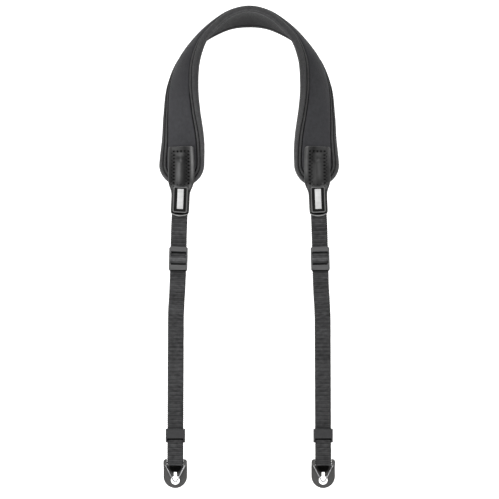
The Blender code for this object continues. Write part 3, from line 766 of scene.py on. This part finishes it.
def tab_top(d, u):
    """Height of the leather's face above the lay line, and its tone, at down d and across u."""
    w = tab_half(d)
    x = abs(u)
    tongue = ease(d / TAB_LENGTH, 0.50, 0.66)
    plain = 1 - tongue
    climb = 0.95 * MM * ease(x, 8.6 * MM, TAB_HALF - 0.6 * MM)
    bulge = (0.5 + 0.5 * cos(pi * min(x / (6.0 * MM), 1.0))) ** 0.9 * ease(d, 5.0 * MM, 17 * MM)
    flat = -0.25 * MM + climb + FACE * bulge
    flat -= 0.22 * MM * bell(x - STITCH_U, 0.9 * MM) * ease(d, 3 * MM, 6 * MM)
    shoulder = max(x - (w - 2.0 * MM), 0.0) / (2.0 * MM)
    full = FACE - 0.75 * MM * shoulder ** 2
    top = flat + (full - flat) * tongue
    end = TAB_LENGTH - d
    top -= 0.75 * MM * bell(end - 2.3 * MM, 1.0 * MM)
    top += 0.12 * MM * bell(end - 0.9 * MM, 0.5 * MM)
    # Painted highlights on the edges and the lower lip, and painted shade in the groove above the lip
    edge = (1.5 if u < 0 else 5.0) * plain + 0.5 * tongue
    tone = 1.0 + edge * bell(w - x, 0.5 * MM) + 22.0 * bell(end - 0.50 * MM, 0.55 * MM)
    tone *= 1 - 0.97 * min(1.5 * bell(end - 2.15 * MM, 1.0 * MM), 1.0)
    # The slope toward the neck is painted darker as shade
    tone *= 1 - 0.42 * bell(u + 3.6 * MM, 2.6 * MM) * plain
    # Painted highlight along the outer slope of the bulge
    ridge = ease(d, 11 * MM, 17 * MM) * (1 - ease(d, 27 * MM, 36 * MM))
    tone += 2.8 * bell(u - 2.0 * MM, 2.2 * MM) * plain * ridge
    # Painted shade where the bulge rises near its top
    tone *= 1 - 0.6 * bell(d - 12.0 * MM, 4 * MM) * bell(u, 5 * MM)
    # Painted highlight on the inner margin, and painted shade on the outer margin
    tone += 5.5 * bell(u + 10.4 * MM, 1.5 * MM) * plain * (1 - ease(d, 22 * MM, 36 * MM))
    tone *= 1 - 0.35 * bell(u - 9.6 * MM, 1.6 * MM) * plain
    # Needle holes are dented and painted dark as shade
    for hd, hu, size in HOLES:
        if abs(hd - d) < 2 * MM and abs(hu - u) < 2 * MM:
            near = sqrt((hd - d) ** 2 + (hu - u) ** 2) / size
            top -= 0.50 * MM * size * bell(near, 0.70 * MM)
            tone *= 1 - 0.98 * min(1.6 * size * bell(near, 0.95 * MM), 1.0)
    crease = noise.noise(Vector((d * 60, u * 110, 3.0)))
    top += 0.08 * MM * crease * plain
    return top, tone


def bow(depth, reach):
    """Share of full height at a depth inside a rounded end."""
    return sqrt(max(1 - (1 - min(depth / reach, 1.0)) ** 2, 0.0))


def make_tab(side, word):
    across = 72
    count = 176

    def put(d, w, u, n, tone):
        curve = (0.5 * MM - 2.2 * MM * (u / w) ** 2) * ease(d / TAB_LENGTH, 0.90, 1.0)
        return bent(side * (TAB_TOP + d + curve - tab_lean(d) * u), u, n), tone, (d / MM, u / MM)

    downs = [TAB_LENGTH * (0.0002 + 0.9998 * i / count) for i in range(count + 1)]
    downs = [0.02 * MM, 0.08 * MM, 0.2 * MM] + [d for d in downs if d > 0.3 * MM]
    rings = []
    for d in downs:
        w = tab_half(d)
        lift = bow(d, 0.6 * MM)
        fall = bow(TAB_LENGTH - d, 0.5 * MM)
        ring = []
        for k in range(across + 1):
            u = w * (1 - 2 * k / across)
            top, tone = tab_top(d, u)
            inner = w - abs(u)
            if inner < EDGE_ROUND:
                top -= EDGE_ROUND * (1 - bow(inner, EDGE_ROUND))
            top = -TAB_BACK + (top + TAB_BACK) * (0.35 + 0.65 * lift) * (0.7 + 0.3 * fall)
            ring.append(put(d, w, u, top, tone))
        for v in (-0.985, -0.8, -0.4, 0.0, 0.4, 0.8, 0.985):
            ring.append(put(d, w, w * v, -TAB_BACK, 0.6))
        rings.append(ring)
    skin = Skin()
    sweep(skin, rings)
    tab = skin.finish("leather_tab_" + word, [LEATHER], 65)
    settle(tab, "strap", "leather", "tab_" + word)

    thread = Skin()
    steps = 8
    for run in stitch_marks():
        for (d0, u0), (d1, u1) in zip(run, run[1:]):
            dd, du = d1 - d0, u1 - u0
            size = sqrt(dd ** 2 + du ** 2)
            middle = tab_top(d0 + dd / 2, u0 + du / 2)[0]
            rings = []
            for i in range(steps + 1):
                t = 0.08 + 0.84 * i / steps
                d, u = d0 + dd * t, u0 + du * t
                rise = sin(pi * i / steps)
                radius = STITCH_RADIUS * (0.35 + 0.65 * min(1.0, 1.6 * rise))
                level = middle - 0.30 * MM + 0.38 * MM * rise
                ring = []
                for k in range(8):
                    a = 2 * pi * k / 8
                    aside = radius * cos(a) / size
                    s = side * (TAB_TOP + d - tab_lean(d) * u - du * aside)
                    ring.append((bent(s, u + dd * aside, level + radius * sin(a)), 1.0, (d / MM, u / MM)))
                rings.append(ring)
            sweep(thread, rings)
    sewn = thread.finish("tab_stitches_" + word, [THREAD], 80)
    settle(sewn, "strap", "leather")


# Label plates


def label_outline(shrink, narrow):
    """Rounded rectangle of (down, across) points that starts at its upper straight side."""
    length_parts, width_parts, corner_parts = 18, 8, 6
    r = max(1.9 * MM - shrink, 0.3 * MM)
    c = LABEL_WIDTH / 2 - shrink - narrow - r
    a = shrink + r
    b = LABEL_LENGTH - shrink - 0.8 * narrow - r
    arcs = []
    for k, (x, y) in enumerate(((b, c), (b, -c), (a, -c), (a, c))):
        turns = [pi / 2 * (k + i / corner_parts) for i in range(corner_parts + 1)]
        arcs.append([(x + r * sin(t), y + r * cos(t)) for t in turns])
    points = []
    for before, arc, parts in zip(arcs[-1:] + arcs[:-1], arcs, (length_parts, width_parts) * 2):
        p, q = before[-1], arc[0]
        for i in range(parts):
            points.append((p[0] + (q[0] - p[0]) * i / parts, p[1] + (q[1] - p[1]) * i / parts))
        points += arc[:-1]
    return points


def make_label(side, word):
    s0 = TAB_TOP + TAB_LENGTH - LABEL_MARGIN - LABEL_LENGTH
    front = 1.02 * TAB_FRONT + GAP + LABEL_THICK
    skin = Skin()
    loops = []
    for shrink, height, tone, narrow, _ in LABEL_PLAN:
        loops.append([skin.add(bent(side * (s0 + s), u, front + height * MM), tone, (s / MM, u / MM))
                      for s, u in label_outline(shrink * MM, narrow * MM)])
    count = len(loops[0])
    for a, b, row in zip(loops, loops[1:], LABEL_PLAN):
        for i in range(count):
            j = (i + 1) % count
            skin.face([a[i], a[j], b[j], b[i]], row[-1])
    skin.face(loops[0], 0)
    skin.face(loops[-1], 2)
    label = skin.finish("label_plate_" + word, [RIM, FIELD, BAR], 70)
    settle(label, "strap", "label", "label_" + word)


# Webbing


def s_bend(s0, s1, n0, n1, parts=14):
    """Points of an S bend made of two equal arcs between two straight runs."""
    run, rise = s1 - s0, n1 - n0
    radius = (run ** 2 + rise ** 2) / (4 * abs(rise))
    sign = 1 if rise > 0 else -1
    full = atan2(run / 2, sqrt(max(radius ** 2 - run ** 2 / 4, 0.0)))
    out = []
    for i in range(parts + 1):
        a = full * i / parts
        out.append((s0 + radius * sin(a), n0 + sign * radius * (1 - cos(a))))
    for i in range(1, parts + 1):
        a = full * (1 - i / parts)
        out.append((s1 - radius * sin(a), n1 - sign * radius * (1 - cos(a))))
    return out


def side_way(points, i, reach=1):
    """Unit direction across a line at point i, toward +n for a line that runs toward +s."""
    a = points[max(i - reach, 0)]
    b = points[min(i + reach, len(points) - 1)]
    ds, dn = b[0] - a[0], b[1] - a[1]
    size = sqrt(ds * ds + dn * dn)
    return -dn / size, ds / size


def offset_line(points, distance):
    """The same line shifted sideways."""
    out = []
    for i, (s, n) in enumerate(points):
        ds, dn = side_way(points, i)
        out.append((s + ds * distance, n + dn * distance))
    return out


def strap_line():
    """Middle of the webbing: down the front, through the slide, round the ring bar and back up."""
    c = along(SLIDE_DOWN)
    r = along(RING_DOWN)
    inner = CENTRE_BAR / 2
    outer = inner + SLOT
    hump = CENTRE_FRONT + GAP + STACK
    middle = s_bend(c - outer, c - inner, 0.0, hump) + s_bend(c + inner, c + outer, hump, 0.0)
    start = TAB_TOP + TAB_LENGTH - POCKET_DEPTH + GAP
    upper = [(start, 0.0), (c - outer - 1 * MM, 0.0)]
    low_end = r - 10 * MM
    low = [(c + outer + 1 * MM, 0.0), (low_end, 0.0)]
    front = offset_line(upper + middle + low, LAYER)
    back_up = TAB_TOP + TAB_LENGTH + TAIL_MARGIN
    back = offset_line([(back_up, 0.0), (c - outer - 1 * MM, 0.0)] + middle + low, -LAYER)
    bend = WIRE_RADIUS + TURN_PITCH / 2 + GAP + WEB_THICK / 2 + FOLD_FULLER
    down = s_bend(low_end + 0.6 * MM, r, LAYER, bend, 12)
    turns = [pi * i / 24 for i in range(1, 24)]
    loop = [(r + bend * sin(a), bend * cos(a)) for a in turns]
    up = [(s, -n) for s, n in reversed(down)]
    return front + down + loop + up + back[::-1]


def even(points, step):
    """The same line with points a set distance apart."""
    lengths = [0.0]
    for a, b in zip(points, points[1:]):
        lengths.append(lengths[-1] + sqrt((b[0] - a[0]) ** 2 + (b[1] - a[1]) ** 2))
    count = round(lengths[-1] / step)
    out = []
    k = 0
    for i in range(count + 1):
        want = lengths[-1] * i / count
        while k < len(points) - 2 and lengths[k + 1] < want:
            k += 1
        span = lengths[k + 1] - lengths[k]
        t = (want - lengths[k]) / span if span > 0 else 0.0
        a, b = points[k], points[k + 1]
        out.append((a[0] + (b[0] - a[0]) * t, a[1] + (b[1] - a[1]) * t, want))
    return out


def make_webbing(side, word):
    line = even(strap_line(), 0.475 * MM)
    middle_bar = along(SLIDE_DOWN)
    across = 18
    rings = []
    for i, (s, n, run) in enumerate(line):
        out_s, out_n = side_way(line, i, 2)
        phase = run / MM / RIB_PITCH
        ridge = abs(sin(pi * phase))
        swell = ridge ** 0.7
        pull = noise.noise(Vector((run * 90, 2.0 * side, 7.0)))
        high = 0.5 * WEB_THICK * (0.80 + 0.22 * swell) + 0.02 * MM * pull
        half = WEB_WIDTH / 2 - 0.08 * MM + (0.30 * ridge + 0.16 * pull) * MM
        # Rib crests are painted lighter and the hollows between them darker as highlight and shade;
        # alternate ribs differ in tone
        shade = (0.62 + 0.46 * swell) * (1.10 if int(phase) % 2 else 0.86) * (1 + 0.5 * pull)
        # Painted highlight on the lower half of the hump over the slide's middle bar, painted shade on
        # its upper half
        shade *= (1 + 1.5 * bell(s - middle_bar - 1.4 * MM, 2.2 * MM)
                  - 0.3 * bell(s - middle_bar + 3.2 * MM, 1.6 * MM))
        ring = []
        for way in (1, -1):
            for k in range(across + 1):
                v = (1 - 2 * k / across) * way
                u = half * v
                edge = max(abs(v) - 0.90, 0.0) / 0.10
                h = way * high * sqrt(max(1 - 0.86 * edge ** 2, 0.0))
                wear_and_painted_shade = 1 + 0.45 * noise.noise(Vector((run * 500, u * 220, way * 3.0)))
                ring.append((bent(side * (s + out_s * h), u, n + out_n * h),
                             shade * wear_and_painted_shade * (1.0 + 0.12 * edge), (run / MM, u / MM)))
        rings.append(ring)
    skin = Skin()
    sweep(skin, rings)
    web = skin.finish("ribbed_webbing_" + word, [WEBBING], 80)
    settle(web, "strap", "webbing", "webbing_" + word)


# Hard fittings


def rings_solid(rings, name, mat):
    skin = Skin()
    sweep(skin, [[(p,) for p in ring] for ring in rings])
    return skin.finish(name, [mat], 30)


def carve(obj, cutters, keep=None):
    """Take the cutters out of the object for good, leave only what lies in keep, and drop them."""
    tools = [(cutter, "DIFFERENCE") for cutter in cutters]
    if keep:
        tools.append((keep, "INTERSECT"))
    for cutter, kind in tools:
        mod = obj.modifiers.new("carve", "BOOLEAN")
        mod.operation = kind
        mod.solver = "EXACT"
        mod.object = cutter
    graph = bpy.context.evaluated_depsgraph_get()
    made = bpy.data.meshes.new_from_object(obj.evaluated_get(graph))
    made.attributes["tone"].data.foreach_set("value", [1.0] * len(made.vertices))
    obj.modifiers.clear()
    old = obj.data
    obj.data = made
    bpy.data.meshes.remove(old)
    for cutter, _ in tools:
        data = cutter.data
        bpy.data.objects.remove(cutter)
        bpy.data.meshes.remove(data)


def soften(obj, width, segments=3, angle=32):
    """Round the edges of a hard piece and keep its broad faces flat."""
    work = bmesh.new()
    work.from_mesh(obj.data)
    bmesh.ops.remove_doubles(work, verts=work.verts, dist=1e-6)
    bmesh.ops.dissolve_limit(work, angle_limit=radians(1.0), verts=work.verts, edges=work.edges)
    for face in work.faces:
        face.smooth = True
    for edge in work.edges:
        edge.smooth = True
    work.to_mesh(obj.data)
    work.free()
    bevel = obj.modifiers.new("round_edges", "BEVEL")
    bevel.width = width
    bevel.segments = segments
    bevel.limit_method = "ANGLE"
    bevel.angle_limit = radians(angle)
    normals = obj.modifiers.new("flat_faces", "WEIGHTED_NORMAL")
    normals.weight = 80


def block(put, s0, s1, u0, u1, n0, n1):
    rings = [[put(s, u0, n0), put(s, u1, n0), put(s, u1, n1), put(s, u0, n1)] for s in (s0, s1)]
    return rings_solid(rings, "cutter", PLASTIC)


def prism(put, half, profile, name="cutter", mat=PLASTIC):
    """Solid with a (down, outward) profile, from side to side."""
    return rings_solid([[put(s, u, n) for s, n in profile] for u in (-half, half)], name, mat)


def slab(put, n0, n1, outline, name="cutter", mat=PLASTIC):
    """Solid with a (down, across) outline between two heights."""
    return rings_solid([[put(s, u, n) for s, u in outline] for n in (n0, n1)], name, mat)


def make_slide(side, word):
    put = stiff(side, along(SLIDE_DOWN))
    inner = CENTRE_BAR / 2
    outer = inner + SLOT
    top = -(outer + OUTER_BAR)
    bottom = outer + OUTER_BAR + SLIDE_LEDGE
    trim = 1.4 * MM
    outline = [(top, SLIDE_HALF - trim), (top + trim, SLIDE_HALF), (bottom - trim, SLIDE_HALF),
               (bottom, SLIDE_HALF - trim)]
    outline += [(s, -u) for s, u in reversed(outline)]
    slide = slab(put, CENTRE_BACK, BAR_FRONT, outline, "three_bar_slide_" + word)
    wide = SLIDE_HALF + MM
    rail = 3.2 * MM
    far = 3 * MM
    over = BAR_FRONT + MM
    ledge = BAR_BACK + 0.9 * MM
    carve(slide, [
        block(put, top - MM, -rail, -wide, wide, CENTRE_BACK - MM, BAR_BACK),
        block(put, rail, bottom + MM, -wide, wide, CENTRE_BACK - MM, BAR_BACK),
        prism(put, WEB_WIDTH / 2 + WINDOW_PLAY, (
            (-outer, -far), (-inner, -far), (-inner, CENTRE_FRONT), (inner, CENTRE_FRONT),
            (inner, -far), (outer, -far), (outer, over), (-outer, over))),
        block(put, bottom - SLIDE_LEDGE, bottom + MM, -wide, wide, ledge, over),
    ])
    soften(slide, 0.42 * MM)
    settle(slide, "strap", "plastic", "slide_" + word)


def make_keeper(side, word):
    put = stiff(side, along(KEEPER_DOWN))
    inside = STACK + GAP
    depth = inside + KEEPER_WALL
    trim = 0.9 * MM
    loop = [(KEEPER_HALF, depth - trim), (KEEPER_HALF - trim, depth)]
    loop += [(-u, n) for u, n in reversed(loop)]
    loop += [(-u, -n) for u, n in loop]
    rings = [[put(s, u, n) for u, n in loop] for s in (0.0, KEEPER_HEIGHT)]
    keeper = rings_solid(rings, "keeper_loop_" + word, KEEPER)
    far = depth + MM
    end = KEEPER_HEIGHT + MM
    back = KEEPER_HEIGHT - KEEPER_BACK_BAR
    # The step behind the plate is a made-up dark ledge that stands for the plate's shadow
    step = KEEPER_PLATE + KEEPER_SHADOW_STEP
    under = inside + KEEPER_SHADOW_STEP_THICK
    carve(keeper, [prism(put, WEB_WIDTH / 2 + SIDE_GAP, (
        (-MM, inside), (step, inside), (step, under), (KEEPER_PLATE, under), (KEEPER_PLATE, far),
        (end, far), (end, -inside), (back, -inside), (back, -far), (-MM, -far)))])
    soften(keeper, 0.38 * MM)
    settle(keeper, "keeper_" + word, "plastic", "keeper_" + word)


def ring_outline(parts):
    """One turn of the ring's middle line: three rounded corners, from the outer one on."""
    corners = ((RING_HALF + 0.9 * MM, 0.0), (0.0, RING_HEIGHT + 0.4 * MM), (-RING_HALF - 0.9 * MM, 0.0))
    radii = (RING_CORNER, RING_CORNER + 0.2 * MM, RING_CORNER)
    out = []
    for i, (corner, radius) in enumerate(zip(corners, radii)):
        c = Vector(corner)
        a = (Vector(corners[i - 1]) - c).normalized()
        b = (Vector(corners[(i + 1) % 3]) - c).normalized()
        half = a.angle(b) / 2
        centre = c + (a + b).normalized() * (radius / sin(half))
        reach = radius * cos(half) / sin(half)
        v0, v1 = c + a * reach - centre, c + b * reach - centre
        total = v0.angle(v1)
        for k in range(parts + 1):
            t = k / parts
            v = (v0 * sin((1 - t) * total) + v1 * sin(t * total)) / sin(total)
            out.append(centre + v)
    return out


def make_ring(side, word):
    put = stiff(side, along(RING_DOWN))
    parts = 12
    turn = ring_outline(parts)
    around = turn[parts + 1:] + turn[:parts + 1]
    high = TURN_PITCH / 2
    start = turn[parts]
    leg = turn[parts + 1] - start
    line = [(start + leg * (0.60 + 0.08 * k), -high) for k in range(5)]
    line += [(p, -high) for p in around]
    # The wire steps over to the second turn along one leg
    for k in range(13):
        t = k / 12
        line.append((start + leg * (0.10 + 0.40 * t), high * (2 * ease(t, 0.0, 1.0) - 1)))
    line += [(start + leg * t, high) for t in (0.6, 0.75, 0.9)]
    line += [(p, high) for p in around]
    line.append((start + leg * 0.10, high))
    points = [put(p[1], p[0], n) for p, n in line]
    rings = []
    sides = 20
    normal = (put(0, 0, 1) - put(0, 0, 0)).normalized()
    for i, p in enumerate(points):
        a = points[max(i - 1, 0)]
        b = points[min(i + 1, len(points) - 1)]
        direction = (b - a).normalized()
        x = (normal - direction * normal.dot(direction)).normalized()
        y = direction.cross(x)
        turns = [2 * pi * k / sides for k in range(sides)]
        rings.append([(p + (x * cos(t) + y * sin(t)) * WIRE_RADIUS,) for t in turns])
    skin = Skin()
    sweep(skin, rings)
    ring = skin.finish("wire_ring_" + word, [STEEL], 70, 1e-8)
    settle(ring, "ring_" + word, "steel", "ring_" + word)


def make_flap(side, word):
    put = stiff(side, along(RING_DOWN))
    bend = s_bend(-0.4 * MM, 4.8 * MM, FLAP_OFFSET, -FLAP_OFFSET, 8)
    line = [(-FLAP_ABOVE - 2 * MM, FLAP_OFFSET)] + bend + [(FLAP_BELOW + 2 * MM, -FLAP_OFFSET)]
    wide = FLAP_HALF + 2 * MM
    profile = offset_line(line, FLAP_THICK / 2) + offset_line(line, -FLAP_THICK / 2)[::-1]
    flap = prism(put, wide, profile, "leather_flap_" + word, FLAP)
    top_r = 2.6 * MM
    turns = [pi / 2 * k / 8 for k in range(9)]
    outline = [(-FLAP_ABOVE + top_r - top_r * cos(a), FLAP_HALF - top_r + top_r * sin(a)) for a in turns]
    foot = FLAP_BELOW - FLAP_HALF
    turns = [pi / 2 * k / 24 for k in range(24)]
    outline += [(foot + FLAP_HALF * sin(a), FLAP_HALF * cos(a)) for a in turns]
    outline = outline + [(FLAP_BELOW, 0.0)] + [(s, -u) for s, u in reversed(outline)]
    far = 8 * MM
    keep = slab(put, -far, far, outline)
    window = WEB_WIDTH / 2 + SIDE_GAP
    wire = WIRE_RADIUS + TURN_PITCH / 2 + GAP
    cutters = [block(put, -FLAP_ABOVE - MM, FLAP_CUT, -window, window, -far, far)]
    for low, high in ((-10.5 * MM, -6.6 * MM), (6.6 * MM, 10.5 * MM)):
        cutters.append(block(put, 0.0, 5.6 * MM, low, high, -wire, wire))
    turns = [2 * pi * (k + 0.5) / 60 for k in range(60)]
    hole = [(KEYHOLE_DOWN + KEYHOLE_RADIUS * cos(a), KEYHOLE_RADIUS * sin(a)) for a in turns]
    cutters.append(slab(put, -far, 0.0, hole))
    cutters.append(block(put, SLOT_TOP, HOLE_DOWN, -SLOT_HALF, SLOT_HALF, -far, 0.0))
    carve(flap, cutters, keep)
    soften(flap, 0.28 * MM, 2, 40)
    settle(flap, "ring_" + word, "flap", "flap_" + word)


for side, word in ((-1, "left"), (1, "right")):
    for make in (make_tab, make_label, make_webbing, make_slide, make_keeper, make_ring, make_flap):
        make(side, word)


# Studio

scene = bpy.context.scene
world = bpy.data.worlds.new("studio")
scene.world = world
world.use_nodes = True
sky = world.node_tree.nodes["Background"]
sky.inputs["Color"].default_value = (1.0, 1.0, 1.0, 1.0)
sky.inputs["Strength"].default_value = 0.04

# White paper that glows less in front of the strap than behind it, so that little light comes
# from below
PAPER_COLOUR = (0.80, 0.80, 0.80)
GLOW_FRONT = 0.30
GLOW_BACK = 0.95
paper = Shade("white_paper", PAPER_COLOUR, 0.9)
depth = paper.split(paper.node("NewGeometry").outputs["Position"])[1]
paper.put("Emission Color", (1.0, 1.0, 1.0, 1.0))
paper.put("Emission Strength", paper.spread(depth, GLOW_FRONT, GLOW_BACK, -0.25, 0.06))

FLOOR_Z = -0.475
BEND_START = 1.2
BEND_RADIUS = 0.8
skin = Skin()
profile = [(-3.0, FLOOR_Z)]
for i in range(13):
    a = pi / 2 * i / 12
    profile.append((BEND_START + BEND_RADIUS * sin(a), FLOOR_Z + BEND_RADIUS * (1 - cos(a))))
profile.append((BEND_START + BEND_RADIUS, 2.6))
left, right = [[skin.add((x, y, z)) for y, z in profile] for x in (-3.5, 3.5)]
for i in range(len(profile) - 1):
    skin.face([left[i], right[i], right[i + 1], left[i + 1]])
backdrop = skin.finish("paper_sweep", [paper.mat], 60)

# name, place, height that it is aimed at on the middle line, width, height, power
SOFTBOXES = (
    ("softbox_left", (-0.55, -0.65, 0.70), -0.25, 0.40, 0.40, 7.4),
    ("softbox_right", (0.75, -0.40, 0.65), -0.25, 0.35, 0.35, 6.0),
    ("side_fill_left", (-0.60, -0.28, -0.35), -0.1, 0.25, 0.6, 3.2),
    ("side_fill_right", (0.62, -0.28, -0.3), -0.2, 0.25, 0.8, 0.2),
    ("softbox_top", (0.0, -1.00, 1.00), -0.2, 1.1, 0.4, 10.5),
)
for name, place, aim, width, height, power in SOFTBOXES:
    lamp = bpy.data.lights.new(name, "AREA")
    lamp.shape = "RECTANGLE"
    lamp.size = width
    lamp.size_y = height
    lamp.energy = power
    holder = bpy.data.objects.new(name, lamp)
    scene.collection.objects.link(holder)
    holder.location = place
    toward = Vector((0.0, 0.0, aim)) - Vector(place)
    holder.rotation_euler = toward.to_track_quat("-Z", "Y").to_euler()

# Long lens straight at the front, level with the middle of the strap
CAMERA_PLACE = (0.00024, -2.0, -0.2261)
CAMERA_LENS = 149.8
camera = bpy.data.objects.new("camera", bpy.data.cameras.new("camera"))
scene.collection.objects.link(camera)
camera.location = CAMERA_PLACE
camera.rotation_euler = (radians(90), 0.0, 0.0)
camera.data.sensor_width = 36.0
camera.data.lens = CAMERA_LENS
camera.data.clip_start = 0.1
camera.data.clip_end = 20.0
scene.camera = camera
scene.view_settings.view_transform = "Standard"
